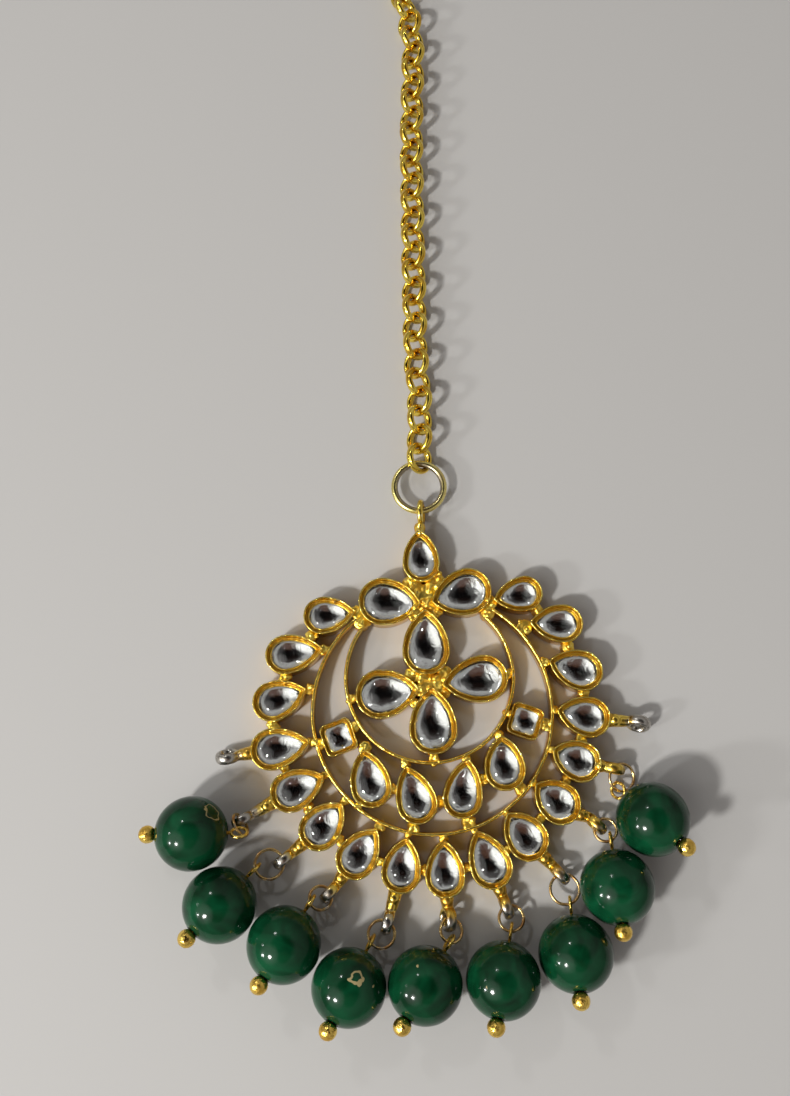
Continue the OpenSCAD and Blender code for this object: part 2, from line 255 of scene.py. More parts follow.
@dataclass(frozen=True)
class ThinPlate(PlatedMetal):
    """Gold plate, whole at one distance from a place and gone at another: yellow that turns to silver. On
    the jump ring the same change is painted shade on its inner side.
    """

    centre_mm: Triple = (0.0, 0.0, 0.0)
    whole_mm: float = 0.0
    bare_mm: float = 1.0
    # The rag of the plate's edge, drawn at its real size
    rag_mm: float = 0.7

    def wear_and_shade_mask(self, tree: NodeTree, place: NodeSocket) -> NodeSocket:
        """Says where the plate is thin on the loops, and where the jump ring's inner side is painted as
        shade, by the distance from its centre, as a ragged mask from 0 to 1.
        """
        centre = tuple(v * MM for v in self.centre_mm)
        reach = add_node(tree, "VectorMath", DISTANCE, {0: place, 1: centre}).outputs["Value"]
        thinning = {"Value": reach, "From Min": self.whole_mm * MM, "From Max": self.bare_mm * MM}
        fade = add_node(tree, "MapRange", {"clamp": False}, thinning).outputs["Result"]
        rag = {"Vector": place, "Scale": 1 / (self.rag_mm * MM), "Detail": 3.0}
        ragged = add_node(tree, "TexNoise", inputs=rag).outputs["Fac"]
        edge = add_node(tree, "Math", {"operation": "ADD"}, {0: fade, 1: ragged}).outputs[0]
        border = {"Value": edge, "From Min": 0.65, "From Max": 1.3}
        return add_node(tree, "MapRange", SMOOTH, border).outputs["Result"]


@dataclass(frozen=True)
class CutGlass:
    """Soda-lime glass, moulded as a smooth dome and fire-polished: clear, with a sharp gloss."""

    name: str = "domed_soda_lime_glass"
    ior: float = 1.52
    roughness: float = 0.01
    tint: str = "#FCFDFC"
    # Fire-polishing leaves waves as broad as half a stone, which bend what the dome mirrors
    wave_mm: float = 1.6
    wave_height_mm: float = 0.06

    def material(self) -> Material:
        """Builds the glass material."""
        constants = {"Base Color": linear(self.tint), "Transmission Weight": 1.0}
        constants |= {"IOR": self.ior, "Roughness": self.roughness}
        material, tree, shader = new_material(self.name, constants)
        place = add_node(tree, "TexCoord").outputs["Object"]
        emboss(tree, shader, place, self.wave_mm, self.wave_height_mm, Detail=1.0)
        return material


@dataclass(frozen=True)
class SilverFoil:
    """Tin foil, rolled thin and pressed under the stone by hand: a soft mirror with shallow creases."""

    name: str = "pressed_tin_foil"
    tint: str = "#E4E6E5"
    # Under the stone it is smooth and gives the dark core; crumpled up its sides, it gives the pale rim
    roughness: float = 0.045
    crumpled: float = 0.5
    # Heights between which the foil turns up round the stone
    turned_up_mm: Pair = (0.72, 0.87)
    # Creases of real foil are about 0.3 mm apart, and are drawn coarser, so that each stone shows a few
    crease_mm: float = 1.1
    crease_height_mm: float = 0.07

    def material(self) -> Material:
        """Builds the foil's material."""
        material, tree, shader = new_material(self.name, {"Base Color": linear(self.tint), "Metallic": 1.0})
        place = add_node(tree, "TexCoord").outputs["Object"]
        height = add_node(tree, "SeparateXYZ", inputs={"Vector": place}).outputs["Z"]
        low, high = self.turned_up_mm
        shine = {"Value": height, "From Min": low * MM, "From Max": high * MM}
        shine |= {"To Min": self.roughness, "To Max": self.crumpled}
        gloss = add_node(tree, "MapRange", inputs=shine).outputs["Result"]
        tree.links.new(gloss, shader.inputs["Roughness"])
        emboss(tree, shader, place, self.crease_mm, self.crease_height_mm, Detail=2.0, Distortion=0.6)
        return material


@dataclass(frozen=True)
class GreenLacquer:
    """Green lacquer, dipped over a pale pressed core: a deep wet gloss, with small chips down to it."""

    name: str = "dipped_green_lacquer"
    light: str = "#0B462A"
    dark: str = "#042412"
    core: str = "#A99A6E"
    roughness: float = 0.12
    core_roughness: float = 0.7
    ior: float = 1.48
    # Lower than new lacquer, for a film that has been handled
    specular_level: float = 0.26
    # Clouds where the coat ran thicker or thinner, about half a bead wide
    cloud_mm: float = 3.2
    # The faint orange peel of dipped lacquer, which softens the edges of its highlights
    peel_mm: float = 0.9
    peel_height_mm: float = 0.018
    # Chips as centre x, y, z, radius of the chipped line and its width, in millimetres
    chips: Rows = ()
    # How far the chips' lines wander, how often, and the grain of their edges, each at its real size
    wander_mm: float = 1.1
    wander_grain_mm: float = 0.9
    edge_grain_mm: float = 0.35

    def chipped(self, tree: NodeTree, place: NodeSocket) -> NodeSocket:
        """Says where the lacquer has chipped off, along a ragged line or at a spot.

        Args:
            tree: The material's node tree.
            place: The surface's place.

        Returns:
            A mask from 0, whole, to 1, chipped.
        """
        grain = {"Vector": place, "Scale": 1 / (self.edge_grain_mm * MM), "Detail": 3.0}
        ragged = add_node(tree, "TexNoise", inputs=grain).outputs["Fac"]
        wander = {"Vector": place, "Scale": 1 / (self.wander_grain_mm * MM), "Detail": 1.0}
        bent = add_node(tree, "TexNoise", inputs=wander).outputs["Color"]
        shift = {0: bent, 1: (self.wander_mm * MM,) * 3, 2: place}
        torn_place = add_node(tree, "VectorMath", {"operation": "MULTIPLY_ADD"}, shift).outputs["Vector"]
        nearest: NodeSocket | float = 0.0
        for x, y, z, radius, width in self.chips:
            centre = tuple((v + self.wander_mm / 2) * MM for v in (x, y, z))
            reach = add_node(tree, "VectorMath", DISTANCE, {0: torn_place, 1: centre}).outputs["Value"]
            past = add_node(tree, "Math", {"operation": "SUBTRACT"}, {0: reach, 1: radius * MM}).outputs[0]
            off_line = add_node(tree, "Math", {"operation": "ABSOLUTE"}, {0: past}).outputs[0]
            fade = {"Value": off_line, "From Min": width * MM, "From Max": 0.0}
            near = add_node(tree, "MapRange", inputs=fade).outputs["Result"]
            nearest = add_node(tree, "Math", {"operation": "MAXIMUM"}, {0: nearest, 1: near}).outputs[0]
        torn = add_node(tree, "Math", {"operation": "MULTIPLY"}, {0: nearest, 1: ragged}).outputs[0]
        border = {"Value": torn, "From Min": 0.2, "From Max": 0.26}
        return add_node(tree, "MapRange", SMOOTH, border).outputs["Result"]

    def material(self) -> Material:
        """Builds the lacquer's material."""
        constants = {"IOR": self.ior, "Specular IOR Level": self.specular_level}
        material, tree, shader = new_material(self.name, constants)
        place = add_node(tree, "TexCoord").outputs["Object"]
        coat = {"Vector": place, "Scale": 1 / (self.cloud_mm * MM), "Detail": 2.0, "Distortion": 0.8}
        clouds = add_node(tree, "TexNoise", inputs=coat).outputs["Fac"]
        depth = add_node(tree, "ValToRGB", inputs={"Fac": clouds})
        fill_ramp(depth, [(0.3, self.dark), (0.7, self.light)])
        chipped = self.chipped(tree, place)
        film = {"Factor": chipped, "A": depth.outputs["Color"], "B": linear(self.core)}
        colour = add_node(tree, "Mix", COLOURS, film).outputs["Result"]
        tree.links.new(colour, shader.inputs["Base Color"])
        shine = {"Value": chipped, "To Min": self.roughness, "To Max": self.core_roughness}
        gloss = add_node(tree, "MapRange", inputs=shine).outputs["Result"]
        tree.links.new(gloss, shader.inputs["Roughness"])
        emboss(tree, shader, place, self.peel_mm, self.peel_height_mm, Detail=2.0)
        return material


@dataclass(frozen=True)
class PaleBoard:
    """Matt painted board under the ornament: even, pale and slightly warm."""

    name: str = "matt_painted_board"
    tint: str = "#B6B5B3"
    roughness: float = 0.75

    def material(self) -> Material:
        """Builds the board's material."""
        constants = {"Base Color": linear(self.tint), "Roughness": self.roughness}
        return new_material(self.name, constants)[0]


def circle(steps: int) -> list[Pair]:
    """Gives the cosine and sine of each step round a circle."""
    return [(math.cos(2 * math.pi * i / steps), math.sin(2 * math.pi * i / steps)) for i in range(steps)]


@dataclass
class Sculpt:
    """Points and faces of one piece, in millimetres."""

    points: list[Vector] = field(default_factory=list)
    faces: list[tuple[int, ...]] = field(default_factory=list)

    def loft(self, rings: Sequence[Ring], looped: bool = False, capped: bool = False) -> None:
        """Skins a row of closed rings that all have the same number of points.

        Args:
            rings: The rings, each going round the same way.
            looped: Whether the last ring joins the first.
            capped: Whether the first and last rings are closed with a flat face.
        """
        first = len(self.points)
        count = len(rings[0])
        for ring in rings:
            self.points.extend(ring)
        spans = len(rings) if looped else len(rings) - 1
        for i in range(spans):
            low = first + i * count
            high = first + ((i + 1) % len(rings)) * count
            for j in range(count):
                k = (j + 1) % count
                self.faces.append((low + j, low + k, high + k, high + j))
        if capped:
            self.faces.append(tuple(first + j for j in reversed(range(count))))
            last = first + (len(rings) - 1) * count
            self.faces.append(tuple(last + j for j in range(count)))

    def torus(
        self,
        place: Matrix,
        radius: float,
        wire: float,
        around: int = 56,
        across: int = 16,
        depth: float | None = None,
    ) -> None:
        """Adds a round ring that lies in its own XY plane.

        Args:
            place: Where the ring goes.
            radius: Radius to the middle of the wire.
            wire: The wire's diameter.
            around: Steps around the ring.
            across: Steps around the wire.
            depth: How deep an oval wire is along the ring's axis.
        """
        half = wire / 2
        half_depth = (depth or wire) / 2
        rings = [
            [
                place @ (Vector((x, y, 0)) * (radius + half * cosine) + Vector((0, 0, half_depth * sine)))
                for cosine, sine in circle(across)
            ]
            for x, y in circle(around)
        ]
        self.loft(rings, looped=True)

    def turned(self, place: Matrix, profile: Sequence[Pair], around: int, closed: bool) -> None:
        """Adds a shape turned about its own Z axis.

        Args:
            place: Where the shape goes.
            profile: Radius and height of each point, going up.
            around: Steps around the axis.
            closed: Whether the profile comes back to its first point.
        """
        rings = []
        for radius, height in profile:
            rings.append([place @ Vector((radius * x, radius * y, height)) for x, y in circle(around)])
        self.loft(rings, looped=closed, capped=not closed)

    def ball(self, centre: Vector, radius: float, steps: int = 8) -> None:
        """Adds a plain closed ball, with so many steps from pole to pole."""
        profile = [
            (radius * math.sin(math.pi * i / steps), -radius * math.cos(math.pi * i / steps))
            for i in range(1, steps)
        ]
        self.turned(Matrix.Translation(centre), profile, steps * 2, closed=False)

    def rod(self, start: Vector, end: Vector, radius: float, end_radius: float | None = None) -> None:
        """Adds a round closed rod between two points, with another radius at its end if one is given."""
        run = end - start
        place = Matrix.Translation(start) @ run.to_track_quat("Z", "Y").to_matrix().to_4x4()
        self.turned(place, [(radius, 0), (end_radius or radius, run.length)], 16, closed=False)

    def mesh(self, name: str, scale: float = MM) -> Mesh:
        """Makes a mesh of the points and faces, in metres if nothing else is asked for."""
        mesh = bpy.data.meshes.new(name)
        mesh.from_pydata([tuple(p * scale) for p in self.points], [], self.faces)
        mesh.validate()
        mesh.update()
        return mesh

    def grown_together(self, name: str, voxel: float, roughen: Callable[[Vector], float]) -> Mesh:
        """Melts overlapping closed shapes to one skin, as solder does.

        Args:
            name: The mesh's name.
            voxel: The skin's grain, in millimetres.
            roughen: How far a point of the skin moves out, in millimetres.

        Returns:
            The new mesh, in metres.
        """
        loose = bpy.data.objects.new(name + "_loose", self.mesh(name + "_loose", 1.0))
        bpy.context.scene.collection.objects.link(loose)
        melt = loose.modifiers.new("melt", "REMESH")
        melt.mode = "VOXEL"
        melt.voxel_size = voxel
        flow = loose.modifiers.new("flow", "SMOOTH")
        flow.factor = 0.5
        flow.iterations = 4
        shown = loose.evaluated_get(bpy.context.evaluated_depsgraph_get())
        mesh = bpy.data.meshes.new_from_object(shown)
        bpy.data.objects.remove(loose, do_unlink=True)
        normals = [v.normal.copy() for v in mesh.vertices]
        for vertex, normal in zip(mesh.vertices, normals, strict=True):
            vertex.co = (vertex.co + normal * roughen(vertex.co)) * MM
        mesh.name = name
        mesh.update()
        return mesh


def show(name: str, mesh: Mesh, material: Material, nodes: Iterable[str]) -> Object:
    """Puts a finished mesh in the scene as a piece that stands for CAD nodes.

    Args:
        name: The piece's name.
        mesh: Its mesh, in metres.
        material: Its finish.
        nodes: The CAD nodes that it stands for.

    Returns:
        The piece.
    """
    mesh.materials.clear()
    mesh.materials.append(material)
    mesh.polygons.foreach_set("use_smooth", [True] * len(mesh.polygons))
    mesh.update()
    piece = bpy.data.objects.new(name, mesh)
    bpy.context.scene.collection.objects.link(piece)
    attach(piece, "root")
    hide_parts(*nodes)
    LOG.info("%s: %d points, %d faces", name, len(mesh.vertices), len(mesh.polygons))
    return piece


def direction(degrees: float) -> Vector:
    """Gives the level unit vector at an angle from +X."""
    return Vector((math.cos(math.radians(degrees)), math.sin(math.radians(degrees)), 0))


def turn(axis: str, degrees: float) -> Matrix:
    """Gives the turn by an angle about an axis."""
    return Matrix.Rotation(math.radians(degrees), 4, axis)


def ripple(point: Vector, length: float, seed: float) -> float:
    """Reads smooth noise at a point.

    Args:
        point: The point, in millimetres.
        length: The noise's grain, in millimetres.
        seed: What sets one noise apart from another.

    Returns:
        A value from about -1 to 1.
    """
    return noise.noise(point / length + Vector((seed, -seed, seed * 0.5)))


@dataclass(frozen=True)
class Setting:
    """The place of a stone and its cup."""

    name: str
    x: float
    y: float
    heading: float

    def place(self) -> Matrix:
        """Gives the outline's place in the ornament."""
        return Matrix.Translation((self.x, self.y, 0)) @ turn("Z", self.heading)


@dataclass(frozen=True)
class Pear(Setting):
    """A pear outline in its place: a round end and a tip."""

    radius: float
    length: float

    def outline(self, count: int = 28) -> list[Vector]:
        """Goes once round the outline about the round end's middle, with the tip along +X.

        Args:
            count: Steps of a quarter of the outline.

        Returns:
            The points, counter-clockwise from the upper side.
        """
        arc = (self.length**2 + self.radius**2) / (2 * self.radius)
        sweep = math.atan2(self.length, arc - self.radius)
        points = [direction(90 + 90 * i / count) * self.radius for i in range(2 * count)]
        for i in range(count):
            at = sweep * i / count
            points.append(Vector((arc * math.sin(at), arc - self.radius - arc * math.cos(at), 0)))
        for i in range(count):
            at = sweep * (1 - i / count)
            points.append(Vector((arc * math.sin(at), arc * math.cos(at) - (arc - self.radius), 0)))
        return points

    def inset(self, depth: float) -> Pear:
        """Gives the pear that runs inside this one at a distance."""
        arc = (self.length**2 + self.radius**2) / (2 * self.radius)
        length = math.sqrt((self.radius - depth) * (2 * arc - depth - self.radius))
        return Pear(self.name, self.x, self.y, self.heading, self.radius - depth, length)

    def tip(self) -> Vector:
        """Gives the place of the tip."""
        return Vector((self.x, self.y, 0)) + direction(self.heading) * self.length


@dataclass(frozen=True)
class Square(Setting):
    """A square outline in its place, with round corners."""

    side: float = 3.75
    corner: float = 0.75

    @property
    def radius(self) -> float:
        """Half of a side."""
        return self.side / 2

    def inset(self, depth: float) -> Square:
        """Gives the square that runs inside this one at a distance."""
        share = 1 - 0.8 * depth / self.radius
        return Square(self.name, self.x, self.y, self.heading, self.side * share, self.corner * share)

    def outline(self, count: int = 8) -> list[Vector]:
        """Goes once round the outline about its middle.

        Args:
            count: Steps of each corner and of each side.

        Returns:
            The points, counter-clockwise.
        """
        inner = self.side / 2 - self.corner
        points = []
        for quarter in range(4):
            middle = turn("Z", 90 * quarter) @ Vector((inner, inner, 0))
            for i in range(count + 1):
                points.append(middle + direction(90 * quarter + 90 * i / count) * self.corner)
            run = turn("Z", 90 * quarter) @ Vector((-2 * inner, 0, 0))
            points += [points[-1] + run * i / count for i in range(1, count)]
        return points


@dataclass
class StoneCups:
    """The upright strips that are bent round each stone and closed at the back, with a thin inner bezel."""

    settings: Sequence[Pear | Square]
    # Inset from the outline and height of each step, from the back up over the rim to the floor
    section: Rows = (
        (0.12, 0.0), (0.0, 0.14), (0.0, 0.8), (0.0, 1.6), (0.0, 2.3), (0.02, 2.48), (0.06, 2.58),
        (0.12, 2.6), (0.18, 2.58), (0.23, 2.44), (0.26, 2.22), (0.31, 2.04), (0.38, 1.95), (0.46, 1.95),
        (0.53, 2.03), (0.58, 2.17), (0.63, 2.21), (0.68, 2.15), (0.715, 2.02), (0.72, 1.92), (0.68, 1.84),
        (0.58, 1.7), (0.54, 1.6), (0.535, 0.52),
    )
    peak: float = 2.6
    # Depth and length of the strip's waves, of its rim's sags, and of the nicks in its rim
    wave: Pair = (0.07, 1.1)
    sag: Pair = (0.15, 0.8)
    nick: Pair = (0.05, 0.42)
    # Share of the height from which the sags and nicks set in, and how far in the nicks only cut inward
    rim_from: float = 0.6
    rim_depth: float = 0.1

    def sculpt(self) -> Sculpt:
        """Lofts every cup's section around its outline."""
        cups = Sculpt()
        for number, setting in enumerate(self.settings):
            outline = setting.outline()
            place = setting.place()
            rings = []
            for inset, height in self.section:
                ring = []
                lift = height / self.peak
                upper = max(lift - self.rim_from, 0.0) / (1 - self.rim_from)
                for base, point in zip(outline, setting.inset(inset).outline(), strict=True):
                    out = base.normalized()
                    point = point - out * abs(ripple(base, self.wave[1], number)) * self.wave[0] * lift
                    drop = abs(ripple(base, self.sag[1], number + 40.0)) * self.sag[0] * upper
                    at = base + Vector((0, 0, height))
                    bite = ripple(at, self.nick[1], number + 80.0) * self.nick[0] * upper
                    point = point - out * (abs(bite) if inset < self.rim_depth else bite)
                    ring.append(place @ Vector((point.x, point.y, height - drop - abs(bite))))
                rings.append(ring)
            cups.loft(rings, capped=True)
        return cups

    def build(self, gold: Material) -> Object:
        """Dresses the cups in plated metal."""
        return show("stone_cups", self.sculpt().mesh("stone_cups"), gold, ["frame"])


@dataclass
class DomedStones:
    """Domed glass stones over a pressed foil that also lines their sides."""

    pears: Sequence[Pear]
    squares: Sequence[Square]
    inset: float = 0.56
    foot: float = 0.72
    girdle: float = 0.95
    dome: float = 0.78
    chamfer: float = 0.3
    # How far the dome's peak lies towards the tip, as a share of what the pear is longer than round
    peak_shift: float = 0.3
    # Space between the foil and the stone, and how far in from the outline the foil's floor ends
    foil_gap: float = 0.02
    floor_inset: float = 1.2
    # How far the foil laps over the stone's side, and how far below the girdle's top it ends
    foil_lap: float = 0.01
    foil_short: float = 0.03
    # Share of the outline at each ring of the dome, from the edge in
    shares: tuple[float, ...] = (0.985, 0.95, 0.9, 0.84, 0.77, 0.69, 0.6, 0.5, 0.4, 0.3, 0.2, 0.1)

    def stone(self, setting: Pear | Square) -> Sculpt:
        """Stacks a stone's rings from its flat back over the chamfer and the girdle to the top of its dome.

        Args:
            setting: The outline of the cup that it sits in.

        Returns:
            The stone, closed.
        """
        place = setting.place()
        edge = setting.inset(self.inset)
        outline = edge.outline()
        longer = edge.length - edge.radius if isinstance(edge, Pear) else 0.0
        top = Vector((self.peak_shift * longer, 0, 0))
        girdle = self.foot + self.girdle
        big = (edge.radius**2 + self.dome**2) / (2 * self.dome)
        levels = [(setting.inset(self.inset + self.chamfer).outline(), self.foot)]
        levels += [(outline, self.foot + self.chamfer), (outline, girdle)]
        for share in self.shares:
            rise = math.sqrt(big**2 - (share * edge.radius) ** 2) - (big - self.dome)
            levels.append(([p * share + top * (1 - share) for p in outline], girdle + rise))
        stone = Sculpt()
        stone.loft([[place @ Vector((p.x, p.y, height)) for p in ring] for ring, height in levels])
        count = len(outline)
        stone.faces.append(tuple(reversed(range(count))))
        peak = len(stone.points)
        stone.points.append(place @ Vector((top.x, top.y, girdle + self.dome)))
        last = peak - count
        stone.faces += [(last + j, last + (j + 1) % count, peak) for j in range(count)]
        return stone

    def foil(self) -> Sculpt:
        """Builds the foils: a shallow bowl under each stone that comes up its sides."""
        foils = Sculpt()
        for setting in [*self.pears, *self.squares]:
            place = setting.place()
            rings = []
            foot = self.foot - self.foil_gap
            for inset, height in (
                (self.inset - self.foil_lap, self.foot + self.girdle - self.foil_short),
                (self.inset - self.foil_lap, foot + self.chamfer),
                (self.inset + self.chamfer - self.foil_lap, foot),
                (self.floor_inset, foot),
            ):
                outline = setting.inset(inset).outline()
                rings.append([place @ Vector((p.x, p.y, height)) for p in outline])
            first = len(foils.points)
            foils.loft(rings)
            count = len(rings[0])
            foils.faces.append(tuple(first + (len(rings) - 1) * count + j for j in range(count)))
        return foils

    def build(self, glass: Material, foil: Material) -> None:
        """Dresses the foils and every stone."""
        settings = [*self.pears, *self.squares]
        nodes = [f"stone_{setting.name}" for setting in settings]
        show("stone_foils", self.foil().mesh("stone_foils"), foil, nodes)
        for setting in settings:
            node = f"stone_{setting.name}"
            show(f"{node}_glass", self.stone(setting).mesh(node), glass, [node])


@dataclass(frozen=True)
class OpenRing:
    """An upright strip bent to a ring that stays open at the top."""

    x: float
    y: float
    radius: float
    start: float
    end: float


@dataclass
class StripRings:
    """The two open rings, of strip that stands on its edge."""

    rings: Sequence[OpenRing]
    # Offset from the strip's middle and height of each corner of its section
    section: Rows = (
        (-0.2, 0.12), (0.2, 0.12), (0.225, 0.25), (0.22, 1.2), (0.21, 1.98), (0.14, 2.14), (0.0, 2.2),
        (-0.14, 2.14), (-0.21, 1.98), (-0.22, 1.2), (-0.225, 0.25),
    )
    # Depth and length of the hand's bends and of the upper edge's sags, and the height where these set in
    bend: Pair = (0.05, 3.0)
    sag: Pair = (0.1, 1.3)
    sag_from: float = 1.2
    steps: int = 300

    def sculpt(self) -> Sculpt:
        """Sweeps the section round each ring, with a slight hand-bent wave."""
        strips = Sculpt()
        for number, ring in enumerate(self.rings):
            sections = []
            for i in range(self.steps + 1):
                out = direction(ring.start + (ring.end - ring.start) * i / self.steps)
                along = out * ring.radius
                wave = ripple(along, self.bend[1], number + 7.0) * self.bend[0]
                corners = []
                for offset, height in self.section:
                    rise = max(height - self.sag_from, 0.0)
                    sag = abs(ripple(along, self.sag[1], number + 11.0)) * self.sag[0] * rise
                    place = out * (ring.radius + offset + wave)
                    corners.append(Vector((ring.x + place.x, ring.y + place.y, height - sag)))
                sections.append(corners)
            strips.loft(sections, capped=True)
        return strips

    def build(self, gold: Material) -> Object:
        """Dresses the rings in plated metal."""
        return show("strip_rings", self.sculpt().mesh("strip_rings"), gold, ["frame"])


@dataclass
class SolderGrains:
    """Grains of hard solder, melted between the cups and rings and never filed off."""

    dots: Sequence[Triple]
    voxel: float = 0.1
    seed: int = 5
    # Heights of a plug's foot and top and of its heap, and how wide the plug's top is against its foot
    foot: float = 0.2
    plug_top: float = 1.95
    heap_top: float = 2.35
    taper: float = 0.92
    # Grains on any plug, and how many more for each millimetre of its radius
    grains: tuple[int, int] = (3, 7)
    # Share of the radius that the grains cover, and how much lower the outermost ones lie
    spread: float = 0.95
    slope: float = 0.25
    # Least and greatest radius of a grain, and how far one may sink or stand out
    grain: Pair = (0.2, 0.4)
    stray: Pair = (-0.25, 0.12)
    # Depth and length of the melted skin's unevenness
    skin: Pair = (0.02, 0.3)

    def sculpt(self) -> Sculpt:
        """Heaps grains on a plug at each joint."""
        chance = random.Random(self.seed)
        heap = Sculpt()
        for x, y, radius in self.dots:
            heap.rod(Vector((x, y, self.foot)), Vector((x, y, self.plug_top)), radius, radius * self.taper)
            for _ in range(self.grains[0] + int(self.grains[1] * radius)):
                angle = chance.uniform(0, 360)
                reach = radius * math.sqrt(chance.uniform(0, 1)) * self.spread
                grain = chance.uniform(*self.grain)
                height = self.heap_top - reach / radius * self.slope - grain + chance.uniform(*self.stray)
                at = direction(angle) * reach
                heap.ball(Vector((x + at.x, y + at.y, height)), grain)
        return heap

    def build(self, gold: Material) -> Object:
        """Melts the grains together and dresses them."""
        depth, length = self.skin
        mesh = self.sculpt().grown_together("solder", self.voxel, lambda p: ripple(p, length, 3.0) * depth)
        return show("solder", mesh, gold, ["frame"])


@dataclass(frozen=True)
class EdgeLoop:
    """A standing wire loop on the outer row: its cup, place, heading and lean."""

    cup: int
    angle: float
    distance: float
    heading: float
    lean: float

    def middle(self, centre: Vector, height: float) -> Vector:
        """Gives the middle of the hole."""
        return centre + direction(self.angle) * self.distance + Vector((0, 0, height))

    def axis(self) -> Vector:
        """Gives the unit vector through the hole."""
        lean = math.radians(self.lean)
        return direction(self.heading - 90) * math.cos(lean) + Vector((0, 0, math.sin(lean)))


@dataclass
class EdgeLoops:
    """The hoops that carry the drops, and the larger one on the tip of the top cup."""

    loops: Sequence[EdgeLoop]
    cups: Sequence[Pear]
    centre: Vector
    top_cup: Pear
    radius: float = 1.04
    wire: float = 0.72
    breadth: float = 1.2
    height: float = 1.4
    # The stub's radius at the hoop, its flare at the cup, the grain on it, and how deep its ends are sunk
    stub: float = 0.6
    stub_flare: float = 1.4
    stub_grain: float = 1.25
    foot_sunk: float = 0.2
    head_sunk: float = 0.05
    # How far along the stub the grain lies, and how high
    grain_along: float = 0.3
    grain_lift: float = 0.25
    top_at: Vector = field(default_factory=lambda: Vector((-0.98, 20.25, 1.65)))
    top_radius: float = 1.3
    top_wire: float = 0.7
    top_lean: float = 8.0
    # Reach past the tip, height and size of each grain at the top hoop's foot, and how far aside they lie
    top_grains: Rows = ((0.0, 1.3, 0.62), (0.35, 1.5, 0.7), (-0.3, 1.9, 0.5), (0.55, 1.9, 0.42))
    top_grains_aside: float = 0.08
    voxel: float = 0.085
    # Depth and length of the melted skin's unevenness
    skin: Pair = (0.02, 0.7)

    def standing(self, at: Vector, heading: float, lean: float) -> Matrix:
        """Places a ring on its edge at a point, along a heading, and leans it to one side."""
        return Matrix.Translation(at) @ turn("Z", heading) @ turn("X", 90 - lean)

    def hoops(self) -> Sculpt:
        """Sets each hoop of the outer row on its stub."""
        wires = Sculpt()
        for loop in self.loops:
            at = loop.middle(self.centre, self.height)
            place = self.standing(at, loop.heading, loop.lean)
            wires.torus(place, self.radius, self.wire, 48, 18, self.breadth)
            cup = self.cups[loop.cup]
            middle = Vector((cup.x, cup.y, self.height))
            foot = middle + (at - middle).normalized() * (cup.radius - self.foot_sunk)
            head = at - direction(loop.heading) * (self.radius - self.head_sunk)
            wires.rod(foot, head, self.stub * self.stub_flare, self.stub)
            grain = foot + (head - foot) * self.grain_along + Vector((0, 0, self.grain_lift))
            wires.ball(grain, self.stub * self.stub_grain, 12)
        return wires

    def top_hoop(self) -> Sculpt:
        """Sets the top hoop and the solder round its foot."""
        wires = Sculpt()
        wires.torus(self.standing(self.top_at, 90, self.top_lean), self.top_radius, self.top_wire, 56, 18)
        tip = self.top_cup.tip()
        for reach, height, size in self.top_grains:
            wires.ball(Vector((tip.x + self.top_grains_aside, tip.y + reach, height)), size, 12)
        return wires

    def uneven(self, point: Vector) -> float:
        """Says how far the melted skin stands out at a point."""
        depth, length = self.skin
        return ripple(point, length, 9.0) * depth

    def build(self, worn: Material, gold: Material) -> None:
        """Melts the stubs to the hoops and dresses them."""
        made = (("edge_loops", self.hoops(), worn), ("top_loop", self.top_hoop(), gold))
        for name, wires, finish in made:
            show(name, wires.grown_together(name, self.voxel, self.uneven), finish, ["frame"])


@dataclass(frozen=True)
class Drop:
    """One bead drop: the bead's middle, and the pin's heading and rise to its ball."""

    x: float
    y: float
    heading: float
    rise: float


@dataclass(frozen=True)
class WireRing:
    """A closed wire ring: its middle, radius and axis, and the way that it crosses the pin's eye."""

    middle: Vector
    radius: float
    axis: Vector = field(default_factory=lambda: Vector((0, 0, 1)))
    at_eye: Vector = field(default_factory=lambda: Vector((0, 0, 1)))

    def place(self) -> Matrix:
        """Gives the ring's place."""
        level = math.degrees(math.atan2(self.axis.y, self.axis.x))
        upright = math.degrees(math.acos(self.axis.z))
        return Matrix.Translation(self.middle) @ turn("Z", level) @ turn("Y", upright)


